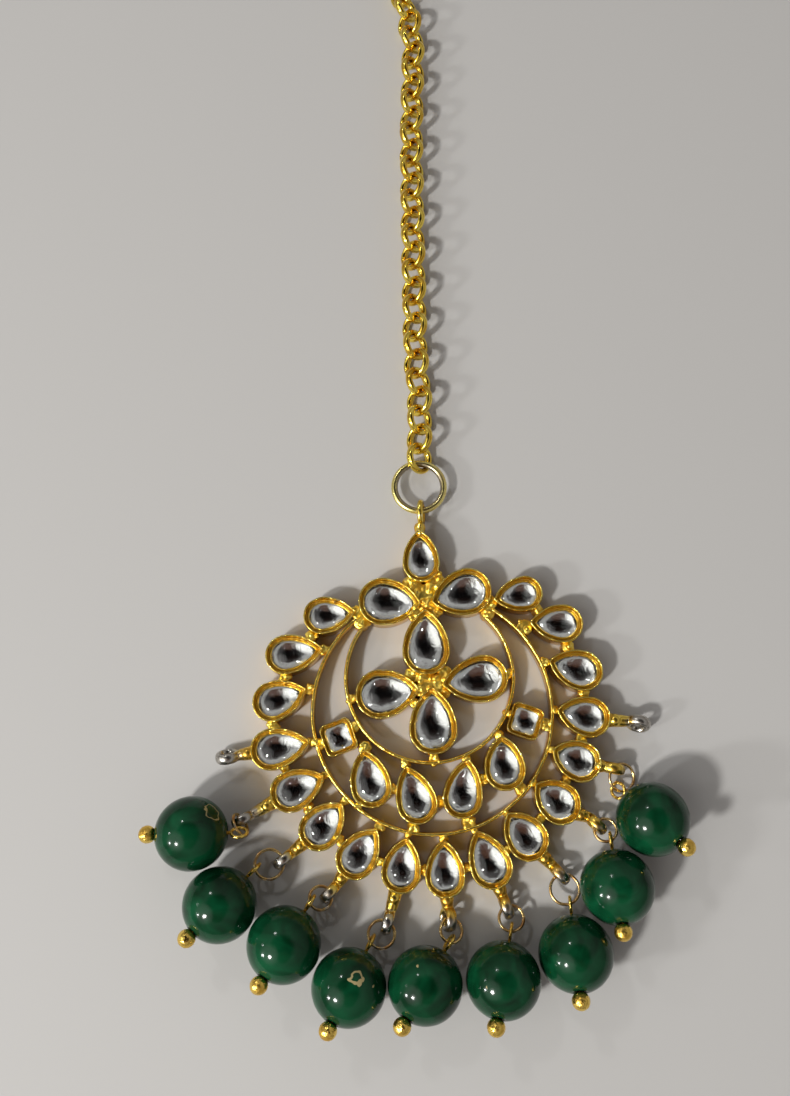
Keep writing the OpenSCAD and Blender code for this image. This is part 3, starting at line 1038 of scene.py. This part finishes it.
@dataclass
class BeadDrops:
    """The green beads on their ball-headed pins."""

    drops: Sequence[Drop]
    bead_radius: float = 3.95
    hole_radius: float = 0.6
    # How far from the hole's edge the lacquer is rounded off, how deep the round goes,
    # and how far it narrows the hole
    round_degrees: float = 2.5
    round_depth: float = 0.3
    round_narrows: float = 0.02
    ball: float = 1.9
    ball_gap: float = 0.05
    wire: float = 0.36
    # Bare wire between the bead and the eye
    neck: float = 0.3
    eye: float = 0.85
    first_laden_loop: int = 1
    # Least and greatest radius of a ring, and how far short of the two middles the widest may stop
    ring_least: float = 1.2
    ring_most: float = 1.5
    ring_short: float = 0.15
    # The pin's say in a ring's bow, and the most that it asks for, in degrees
    pin_share: float = 0.3
    pin_bow_most: float = 40.0

    def along(self, drop: Drop) -> Matrix:
        """Places a drop's pin line along Z, from the ball up to the eye, with the bead's middle at 0."""
        return (
            Matrix.Translation((drop.x, drop.y, self.bead_radius))
            @ turn("Z", drop.heading + 180)
            @ turn("Y", drop.rise)
            @ turn("Y", 90)
        )

    def ring(self, drop: Drop, hole: Vector, axis: Vector) -> WireRing:
        """Runs a drop's jump ring through the middles of its edge loop and of its pin's eye.

        The ring bows to one side, partly to stand square to the loop and partly to the pin.

        Args:
            drop: The drop.
            hole: The middle of the loop's hole.
            axis: The unit vector through it.

        Returns:
            The ring.
        """
        pin = self.along(drop).to_3x3() @ Vector((0, 0, 1))
        eye = self.along(drop) @ Vector((0, 0, self.bead_radius + self.neck + self.eye))
        span = (eye - hole).length
        way = (eye - hole) / span
        across = (axis - axis.dot(way) * way).normalized()
        most = math.radians(self.pin_bow_most)
        square_to_pin = max(-most, min(most, math.atan(-across.dot(pin) / way.dot(pin))))
        bow = (1 - self.pin_share) * -math.asin(axis.dot(way)) + self.pin_share * square_to_pin
        radius = min(span / 2 / math.cos(bow), self.ring_most)
        radius = max(radius, self.ring_least, span / 2 - self.ring_short)
        aside = math.copysign(math.sqrt(max(radius**2 - span**2 / 4, 0.0)), bow)
        middle = (hole + eye) / 2 + aside * across
        return WireRing(middle, radius, way.cross(across), span / 2 * across + aside * way)

    def rings(self, hoops: EdgeLoops) -> list[WireRing]:
        """Gives each drop's ring on its edge loop."""
        first = self.first_laden_loop
        laden = zip(self.drops, hoops.loops[first : first + len(self.drops)], strict=True)
        centre, height = hoops.centre, hoops.height
        return [self.ring(drop, loop.middle(centre, height), loop.axis()) for drop, loop in laden]

    def bead(self, drop: Drop) -> Sculpt:
        """Turns one drilled bead, with the hole's edge a little rounded."""
        low = math.degrees(math.asin(self.hole_radius / self.bead_radius))
        steps = 60
        end = (self.hole_radius - self.round_narrows, self.bead_radius - self.round_depth)
        profile = [(end[0], -end[1])]
        for i in range(steps + 1):
            sweep = 180 - 2 * low - 2 * self.round_degrees
            angle = math.radians(low + self.round_degrees + sweep * i / steps)
            profile.append((self.bead_radius * math.sin(angle), -self.bead_radius * math.cos(angle)))
        profile.append(end)
        bead = Sculpt()
        bead.turned(self.along(drop), profile, 112, closed=True)
        return bead

    def pin(self, drop: Drop, ring: WireRing) -> Sculpt:
        """Turns one ball and wire, and closes the eye at its end, rolled to face its ring."""
        pin = Sculpt()
        place = self.along(drop)
        ball = self.ball / 2
        rim = math.sqrt(self.bead_radius**2 - self.hole_radius**2)
        foot = -(rim + math.sqrt((ball + self.ball_gap) ** 2 - self.hole_radius**2))
        # Up to the step at which the wire comes out of the ball
        turns = [math.pi * i / 24 for i in range(1, 22)]
        profile = [(ball * math.sin(angle), foot - ball * math.cos(angle)) for angle in turns]
        head = self.bead_radius + self.neck + self.eye
        profile += [(self.wire / 2, foot + ball), (self.wire / 2, head - self.eye)]
        pin.turned(place, profile, 28, closed=False)
        level, upright = direction(drop.heading - 90), place.to_3x3() @ Vector((-1, 0, 0))
        roll = math.degrees(math.atan2(-ring.at_eye.dot(level), ring.at_eye.dot(upright)))
        eye = place @ Matrix.Translation((0, 0, head)) @ turn("Y", -90) @ turn("X", roll)
        pin.torus(eye, self.eye, self.wire, 40, 12)
        return pin

    def build(self, hoops: EdgeLoops, lacquer: Material, gold: Material) -> None:
        """Dresses each bead and pin."""
        for number, (drop, ring) in enumerate(zip(self.drops, self.rings(hoops), strict=True), 1):
            bead = self.bead(drop).mesh(f"bead_{number}")
            show(f"bead_{number}_lacquered", bead, lacquer, [f"bead_{number}"])
            pin = self.pin(drop, ring).mesh(f"pin_{number}")
            show(f"pin_{number}_plated", pin, gold, [f"pin_{number}"])


@dataclass
class DropRings:
    """The thin jump rings between the edge loops and the pins' eyes."""

    beads: BeadDrops
    hoops: EdgeLoops
    wire: float = 0.33

    def build(self, plate: Material) -> Object:
        """Bends and dresses the rings."""
        wires = Sculpt()
        for ring in self.beads.rings(self.hoops):
            wires.torus(ring.place(), ring.radius, self.wire, 56, 12)
        return show("drop_rings_plated", wires.mesh("drop_rings"), plate, ["drop_rings"])


@dataclass
class RoloChain:
    """The jump ring, the chain of round links, and the hook at its end."""

    start: Vector
    bends: Sequence[Pair]
    links: int = 28
    pitch: float = 2.44
    wire: float = 0.64
    # Width and depth of a link's wire, which is oval, and the air between two links
    width: float = 0.7
    depth: float = 0.95
    play: float = 0.12
    lean: float = 45.0
    # How far the links' lowest points stand off the floor
    off_floor: float = 0.02
    jump: WireRing = field(default_factory=lambda: WireRing(Vector((-1.2, 23.54, 1.44)), 2.93))
    jump_wire: float = 0.8
    hook_wire: float = 0.8
    hook_eye: float = 1.35
    # Where the shank starts outside the eye, the lengths before and after the bend,
    # and the ball against the wire
    hook_start: float = 0.1
    hook_shank: float = 5.0
    hook_bend: float = 1.7
    hook_return: float = 3.5
    hook_ball: float = 0.65
    # How far the hook dips towards the floor, in degrees
    hook_dip: float = 6.0

    @property
    def link_radius(self) -> float:
        """Radius of a link to the middle of its wire."""
        return (self.pitch + self.wire + self.play) / 2

    @property
    def level(self) -> float:
        """Height of the links' middles, which lets the lowest point of each just clear the floor."""
        sine, cosine = math.sin(math.radians(self.lean)), math.cos(math.radians(self.lean))
        wire = math.hypot(self.width / 2 * sine, self.depth / 2 * cosine)
        return self.link_radius * sine + wire + self.off_floor

    def heading(self, link: float) -> float:
        """Gives the chain's heading in degrees at a link, or at a place between two."""
        for (low, start), (high, end) in zip(self.bends, self.bends[1:], strict=False):
            if link <= high:
                return start + (end - start) * (link - low) / (high - low)
        return self.bends[-1][1]

    def middles(self) -> list[Vector]:
        """Steps along the chain from link to link."""
        at = Vector((self.start.x, self.start.y, self.level))
        places = [at]
        for link in range(1, self.links):
            at = at + direction(self.heading(link - 0.5)) * self.pitch
            places.append(at)
        return places

    def chain(self) -> Sculpt:
        """Sets the links, leaned to one side and the other in turn."""
        chain = Sculpt()
        for link, at in enumerate(self.middles()):
            lean = self.lean if link % 2 == 0 else -self.lean
            place = Matrix.Translation(at) @ turn("Z", self.heading(link) - 90) @ turn("Y", lean)
            chain.torus(place, self.link_radius, self.width, 48, 18, self.depth)
        return chain

    def hook(self) -> Sculpt:
        """Bends the hook from one wire, with an eye for the last link and a ball on its point."""
        heading = self.heading(self.links)
        reach = self.link_radius + self.hook_eye - (self.wire + self.hook_wire) / 2 - self.play
        eye = self.middles()[-1] + direction(heading) * reach
        place = Matrix.Translation(eye) @ turn("Z", heading) @ turn("Y", self.hook_dip)
        hook = Sculpt()
        hook.torus(place @ turn("X", self.lean), self.hook_eye, self.hook_wire, 44, 16)
        far = self.hook_eye + self.hook_shank
        near = self.hook_eye + self.hook_start
        line = [Vector((near + (far - near) * i / 6, 0, 0)) for i in range(7)]
        for i in range(1, 20):
            out = direction(-90 + 180 * i / 20) * self.hook_bend
            line.append(Vector((far + out.x, self.hook_bend + out.y, 0)))
        line += [Vector((far - self.hook_return * i / 4, 2 * self.hook_bend, 0)) for i in range(5)]
        half = self.hook_wire / 2
        rings = []
        for i, point in enumerate(line):
            run = line[min(i + 1, len(line) - 1)] - line[max(i - 1, 0)]
            side = Vector((-run.y, run.x, 0)).normalized()
            around = [point + side * (half * x) + Vector((0, 0, half * y)) for x, y in circle(16)]
            rings.append([place @ corner for corner in around])
        hook.loft(rings, capped=True)
        hook.ball(place @ line[-1], self.hook_wire * self.hook_ball, 12)
        return hook

    def build(self, gold: Material, inner_shaded: Material) -> None:
        """Dresses the ring, with shade painted on its inner side, the chain and the hook."""
        ring = Sculpt()
        ring.torus(self.jump.place(), self.jump.radius, self.jump_wire, 96, 20)
        show("jump_ring_plated", ring.mesh("jump_ring"), inner_shaded, ["jump_ring"])
        show("chain_plated", self.chain().mesh("chain"), gold, ["chain"])
        show("hair_hook_plated", self.hook().mesh("hair_hook"), gold, ["hair_hook"])


@dataclass
class Pendant:
    """The crescent pendant's layout, which every soldered piece and stone reads."""

    centre: Vector = field(default_factory=lambda: Vector((0.15, -2.9, 0.0)))
    # Place, round end's middle, heading of the tip, radius and length
    inner: tuple[tuple[str, float, float, float, float, float], ...] = (
        ("top", -1.0, 14.0, 93, 2.20, 4.15),
        ("upper_left", -5.55, 9.55, 357, 2.80, 4.50),
        ("upper_right", 4.4, 10.75, 197, 2.75, 4.45),
        ("petal_up", -0.5, 3.8, 91, 2.75, 4.90),
        ("petal_right", 6.1, 0.7, 189, 2.70, 4.90),
        ("petal_left", -5.8, -1.1, 8, 2.80, 4.55),
        ("petal_down", 0.25, -5.1, 92, 2.75, 4.90),
        ("inner_1", -6.7, -11.3, 103, 2.35, 4.25),
        ("inner_2", -1.6, -13.1, 108, 2.30, 4.35),
        ("inner_3", 3.4, -12.55, 81, 2.25, 4.50),
        ("inner_4", 8.2, -9.45, 95, 2.35, 3.85),
    )
    # Angle and distance about the centre, turn of the tip from straight inward, radius and length
    outer: Rows = (
        (139.5, 16.6, 48, 2.20, 3.90),
        (159.5, 17.9, 30, 2.30, 4.40),
        (177.0, 18.1, 24, 2.30, 4.10),
        (193.5, 18.6, -2, 2.35, 4.50),
        (209.5, 18.2, -4, 2.30, 4.20),
        (226.0, 18.1, 2, 2.30, 3.90),
        (242.0, 18.2, -9, 2.25, 4.00),
        (258.5, 17.9, 1, 2.20, 3.90),
        (274.0, 18.0, -2, 2.25, 4.00),
        (290.5, 18.1, 3, 2.35, 4.30),
        (306.5, 17.5, 2, 2.35, 3.70),
        (324.0, 17.4, -2, 2.35, 3.50),
        (341.0, 17.5, -4, 2.30, 3.50),
        (357.5, 17.8, -9, 2.30, 3.90),
        (14.5, 17.7, -31, 2.35, 4.05),
        (33.0, 18.1, -35, 2.25, 3.95),
        (51.0, 17.2, -40, 2.10, 3.75),
    )
    ring_edge: float = 13.775
    # Cups that stand side by side, and the place and size of the solder between two and on a tip
    side_by_side: tuple[int, int] = (3, 13)
    pair_pull: float = 0.975
    pair_solder: float = 0.52
    tip_lap: float = 0.3
    # Place and size of the solder at each joint inside the outer row
    joints: Rows = (
        (-2.5, 11.8, 0.80), (0.9, 12.2, 0.80), (-0.6, 10.6, 1.15), (-0.5, 9.4, 0.95),
        (-1.9, 7.9, 0.55), (0.5, 8.4, 0.80), (-1.7, 11.3, 0.90), (0.3, 11.5, 0.90),
        (-1.4, 8.8, 0.75), (-8.4, 8.5, 0.60), (-8.0, 7.2, 0.95), (7.1, 9.8, 0.50),
        (6.7, 8.3, 0.90), (1.7, 1.5, 0.75), (-2.1, 1.0, 0.80), (1.6, -0.9, 0.70),
        (-1.9, -2.1, 0.55), (0.0, 0.4, 1.00), (-1.1, 0.9, 0.85), (1.0, 0.5, 0.85),
        (-1.0, -0.6, 0.85), (0.7, -0.5, 0.80), (9.0, 1.3, 0.55), (-9.0, -1.6, 0.60),
        (0.3, -8.3, 0.65), (-12.5, -6.6, 0.70), (-8.6, -4.7, 0.60), (12.9, -4.4, 0.75),
        (8.8, -3.3, 0.45), (-7.5, -7.1, 0.75), (-2.9, -8.8, 0.50), (4.0, -8.2, 0.50),
        (7.7, -5.6, 0.60), (-4.2, -11.6, 0.55), (0.9, -12.9, 0.60), (5.8, -10.5, 0.65),
        (-8.2, -13.4, 0.50), (-2.0, -15.8, 0.70), (4.1, -15.2, 0.80), (10.0, -11.5, 0.70),
        (-13.7, 5.6, 0.75), (-16.7, 0.8, 0.62), (-17.8, -4.6, 0.62), (15.8, 4.3, 0.75),
        (12.5, 8.6, 0.62), (17.4, -1.1, 0.60),
    )

    def inner_pears(self) -> list[Pear]:
        """Gives the cups of the flower, the upper group and the inner row."""
        return [Pear(*row) for row in self.inner]

    def outer_pears(self) -> list[Pear]:
        """Gives the cups of the outer row."""
        pears = []
        for number, (angle, distance, off, radius, length) in enumerate(self.outer, 1):
            at = self.centre + direction(angle) * distance
            pears.append(Pear(f"outer_{number}", at.x, at.y, angle + 180 + off, radius, length))
        return pears

    def squares(self) -> list[Square]:
        """Gives the two square cups."""
        return [Square("square_left", -10.4, -5.9, 21), Square("square_right", 10.6, -4.1, -19)]

    def solder(self) -> list[Triple]:
        """Adds to the joints those between the outer row's cups and on their tips."""
        dots = list(self.joints)
        pears = self.outer_pears()
        for number in range(*self.side_by_side):
            one, other = pears[number], pears[number + 1]
            middle = Vector(((one.x + other.x) / 2, (one.y + other.y) / 2, 0))
            at = self.centre + (middle - self.centre) * self.pair_pull
            dots.append((at.x, at.y, self.pair_solder))
        for pear in pears:
            tip = pear.tip() - self.centre
            space = tip.length - self.ring_edge
            at = self.centre + tip.normalized() * (self.ring_edge + space / 2)
            dots.append((at.x, at.y, space / 2 + self.tip_lap))
        return dots


@dataclass(frozen=True)
class Lamp:
    """A round studio lamp: where it stands, its width, its power and its colour."""

    name: str
    azimuth: float
    elevation: float
    distance_m: float
    width_m: float
    power: float
    tint: str

    def build(self, aim: Vector) -> None:
        """Hangs the lamp and turns it to the ornament.

        Args:
            aim: What it shines on, in metres.
        """
        light = bpy.data.lights.new(self.name, "AREA")
        light.shape = "DISK"
        light.size = self.width_m
        light.energy = self.power
        light.color = linear(self.tint)[:3]
        lamp = bpy.data.objects.new(self.name, light)
        away = direction(self.azimuth) * math.cos(math.radians(self.elevation))
        away.z = math.sin(math.radians(self.elevation))
        lamp.location = aim + away * self.distance_m
        lamp.rotation_euler = away.to_track_quat("Z", "Y").to_euler()
        bpy.context.scene.collection.objects.link(lamp)


@dataclass
class Studio:
    """A pale board, a few lamps, a dim room and the camera."""

    lamps: tuple[Lamp, ...] = (
        Lamp("key_lamp", -142, 43, 0.60, 0.06, 2.6, "#FFFDFA"),
        Lamp("window_lamp", -156, 25, 0.60, 0.05, 0.9, "#FFFFFF"),
        Lamp("left_lamp", 178, 28, 0.70, 0.03, 0.15, "#FFFFFF"),
        Lamp("back_lamp", 123, 45, 0.70, 0.04, 0.35, "#FFFFFF"),
    )
    camera_mm: Triple = (-4.07, -10.44, 116.3)
    camera_tilt: float = 13.0
    focal_px: float = 1000.0
    long_side_px: float = 1096.0
    sensor_mm: float = 36.0
    clip_m: float = 0.002
    aim_m: Triple = (0.0, -0.005, 0.0)
    board_m: float = 1.6
    board_level: float = -2e-5
    room_strength: float = 0.68
    # The room's colours, from the foot of the walls up to the middle of the ceiling
    walls: tuple[tuple[float, str], ...] = (
        (0.1, "#8E8682"), (0.55, "#C2BEBB"), (0.82, "#D6D4D3"), (0.93, "#3C3635"), (1.0, "#0E0C0C"),
    )
    # Grain of what stands along the walls, and how far it breaks their bands
    clutter: Pair = (2.6, 0.16)
    # What the stones mirror: the way to it, its colour and strength, and where it ends and is full
    mirrored: tuple[tuple[Triple, str, float, float, float], ...] = (
        ((0.06, -0.47, 0.88), "#8C6454", 0.4, 0.92, 0.985),
        ((-0.62, -0.34, 0.71), "#FFFCF8", 1.5, 0.84, 0.97),
    )

    def build_board(self) -> None:
        """Lays the board just under the ornament."""
        half = self.board_m / 2
        mesh = bpy.data.meshes.new("board")
        corners = [(x * half, y * half, self.board_level) for x, y in ((-1, -1), (1, -1), (1, 1), (-1, 1))]
        mesh.from_pydata(corners, [], [(0, 1, 2, 3)])
        mesh.materials.append(PaleBoard().material())
        board = bpy.data.objects.new("board", mesh)
        bpy.context.scene.collection.objects.link(board)

    def build_room(self) -> None:
        """Lights the room: pale walls, a dark ceiling, a window on the left and a dim patch overhead."""
        world = bpy.data.worlds.new("room")
        bpy.context.scene.world = world
        world.use_nodes = True
        tree = world.node_tree
        tree.nodes.clear()
        way = add_node(tree, "TexCoord").outputs["Generated"]
        height = add_node(tree, "SeparateXYZ", inputs={"Vector": way}).outputs["Z"]
        grain, breaks = self.clutter
        clutter = add_node(tree, "TexNoise", inputs={"Vector": way, "Scale": grain, "Detail": 2.0})
        bands = {0: clutter.outputs["Fac"], 1: breaks, 2: height}
        uneven = add_node(tree, "Math", {"operation": "MULTIPLY_ADD"}, bands).outputs[0]
        walls = add_node(tree, "ValToRGB", inputs={"Fac": uneven})
        fill_ramp(walls, self.walls)
        light = {"Color": walls.outputs["Color"], "Strength": self.room_strength}
        room = add_node(tree, "Background", inputs=light).outputs["Background"]
        for centre, colour, strength, edge, core in self.mirrored:
            light = {"Color": linear(colour), "Strength": strength}
            glow = add_node(tree, "Background", inputs=light).outputs["Background"]
            ways = {0: way, 1: centre}
            toward = add_node(tree, "VectorMath", {"operation": "DOT_PRODUCT"}, ways).outputs["Value"]
            rim = {"Value": toward, "From Min": edge, "From Max": core}
            share = add_node(tree, "MapRange", SMOOTH, rim).outputs["Result"]
            room = add_node(tree, "MixShader", inputs={0: share, 1: room, 2: glow}).outputs[0]
        add_node(tree, "OutputWorld", inputs={"Surface": room})

    def build_camera(self) -> None:
        """Sets the camera where the photo was taken from."""
        data = bpy.data.cameras.new("camera")
        data.sensor_width = self.sensor_mm
        data.lens = self.sensor_mm * self.focal_px / self.long_side_px
        data.clip_start = self.clip_m
        camera = bpy.data.objects.new("camera", data)
        camera.location = Vector(self.camera_mm) * MM
        camera.rotation_euler = (math.radians(self.camera_tilt), 0.0, 0.0)
        bpy.context.scene.collection.objects.link(camera)
        bpy.context.scene.camera = camera
        bpy.context.scene.view_settings.view_transform = "Standard"

    def build(self) -> None:
        """Builds the stage, the lights and the camera."""
        self.build_board()
        self.build_room()
        for lamp in self.lamps:
            lamp.build(Vector(self.aim_m))
        self.build_camera()


# Cups and strips: rims buffed to a pale shine, and dull recesses that the wheel didn't reach, their colour
# painted a darker orange as shade lower down
CUP_GOLD = PlatedMetal(
    "gold_plated_solder_work", "#FDEA80", "#EEC84E", "#F8F0CC", 0.25, (0.1, 0.24), 0.45, 0.08,
    recess_mm=(1.7, 2.4),
)  # fmt: skip
# Hard solder under the same plate: rounded grains with a softer gloss, painted a darker amber as shade on
# their lower parts
SOLDER_GOLD = PlatedMetal(
    "gold_plated_hard_solder", "#FCE46E", "#E6B540", "#F6EDC4", 0.15, (0.26, 0.44), 0.5, 0.05,
    recess_mm=(1.2, 2.3),
)  # fmt: skip
# Drawn wire, plated in a barrel: smooth and even, with a narrow highlight along each link
CHAIN_GOLD = PlatedMetal(
    "gold_plated_chain_wire", "#F8DC62", "#DBAC36", "#F2E8C0", 0.15, (0.1, 0.24), 0.5, 0.03
)  # fmt: skip
# Headed wire: a ball whose lumps break its highlight
PIN_GOLD = PlatedMetal("gold_plated_pin_wire", "#F4D26A", "#DCB04C", "#E4D4A6", 0.2, (0.16, 0.4), 0.6, 0.16)
# Thin pale plate on copper wire, which shows brown where it has rubbed through
PALE_PLATE = PlatedMetal(
    "worn_pale_gold_wire", "#DCC080", "#AC7A48", "#C9C2B0", 0.35, (0.2, 0.38), 0.5, 0.01
)  # fmt: skip
# Plate that runs out over white metal: the loops are yellow at their cups and silvery at their ends
HOOP_PLATE = ThinPlate(
    "gold_plate_over_white_metal", "#EFCF5E", "#CFA040", "#B2AEA6", 0.5, (0.2, 0.36), 0.6, 0.012,
    centre_mm=(0.15, -2.9, 1.4), whole_mm=21.3, bare_mm=23.4,
)  # fmt: skip
# The jump ring's wire: pale gold, with its inner side painted a greyer tone as shade
INNER_SHADED_RING_PLATE = ThinPlate(
    "ring_wire_painted_shade_inside", "#F7E892", "#E6CE84", "#A2967E", 0.5, (0.2, 0.36), 0.6, 0.012,
    centre_mm=(-1.2, 23.54, 1.44), whole_mm=3.05, bare_mm=2.6,
)  # fmt: skip

DROPS = (
    Drop(-26.1, -16.2, 181, 4),
    Drop(-22.75, -23.5, 226, 22),
    Drop(-15.8, -27.5, 238, 22),
    Drop(-8.9, -31.7, 242, 24),
    Drop(-0.9, -31.5, 236, 22),
    Drop(7.3, -31.0, 256, 24),
    Drop(15.0, -28.4, 270, 26),
    Drop(19.7, -21.7, 270, 24),
    Drop(23.9, -14.7, 315, 34),
)
LOOPS = (
    EdgeLoop(3, 192.5, 23.6, 188, 20),
    EdgeLoop(4, 209.5, 24.2, 209, 0),
    EdgeLoop(5, 224.5, 23.0, 218, 0),
    EdgeLoop(6, 240.0, 22.6, 226, 0),
    EdgeLoop(7, 257.5, 23.2, 254, 0),
    EdgeLoop(8, 274.0, 22.4, 271, 20),
    EdgeLoop(9, 290.5, 22.5, 290, 0),
    EdgeLoop(10, 308.0, 22.4, 311, 0),
    EdgeLoop(11, 325.5, 21.9, 316, 0),
    EdgeLoop(12, 342.5, 21.2, 348, 0),
    EdgeLoop(13, 356.5, 23.4, 346, 20),
)
CHAIN_BENDS = (
    (0, 89), (3, 90), (4, 97), (5, 93), (7, 91), (17, 90.5), (19, 88.5), (23, 89), (25, 101), (28, 104),
)  # fmt: skip
# The chips that show, on the fourth, fifth, sixth and first beads
CHIPS = (
    (-7.9, -30.2, 7.4, 0.62, 0.24),
    (-6.0, -30.9, 6.9, 0.0, 0.4),
    (-1.9, -29.0, 6.8, 0.0, 0.5),
    (5.5, -31.0, 7.4, 0.0, 0.42),
    (-23.2, -13.6, 6.2, 1.1, 0.12),
)


def main() -> None:
    """Loads the frame, then builds each sub-assembly and the studio in order."""
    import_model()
    pendant = Pendant()
    inner, outer, squares = pendant.inner_pears(), pendant.outer_pears(), pendant.squares()
    gold = CUP_GOLD.material()
    StoneCups([*inner, *outer, *squares]).build(gold)
    DomedStones([*inner, *outer], squares).build(CutGlass().material(), SilverFoil().material())
    StripRings([OpenRing(-0.15, 0.85, 9.55, 141, 407), OpenRing(0.15, -2.9, 13.55, 129, 419)]).build(gold)
    SolderGrains(pendant.solder()).build(SOLDER_GOLD.material())
    hoops = EdgeLoops(LOOPS, outer, pendant.centre, inner[0])
    hoops.build(HOOP_PLATE.material(), gold)
    beads = BeadDrops(DROPS)
    beads.build(hoops, GreenLacquer(chips=CHIPS).material(), PIN_GOLD.material())
    DropRings(beads, hoops).build(PALE_PLATE.material())
    chain = RoloChain(Vector((-1.15, 27.13, 0.0)), CHAIN_BENDS)
    chain.build(CHAIN_GOLD.material(), INNER_SHADED_RING_PLATE.material())
    Studio().build()


if __name__ == "__main__":
    logging.basicConfig(level=logging.INFO, format="%(message)s")
    main()
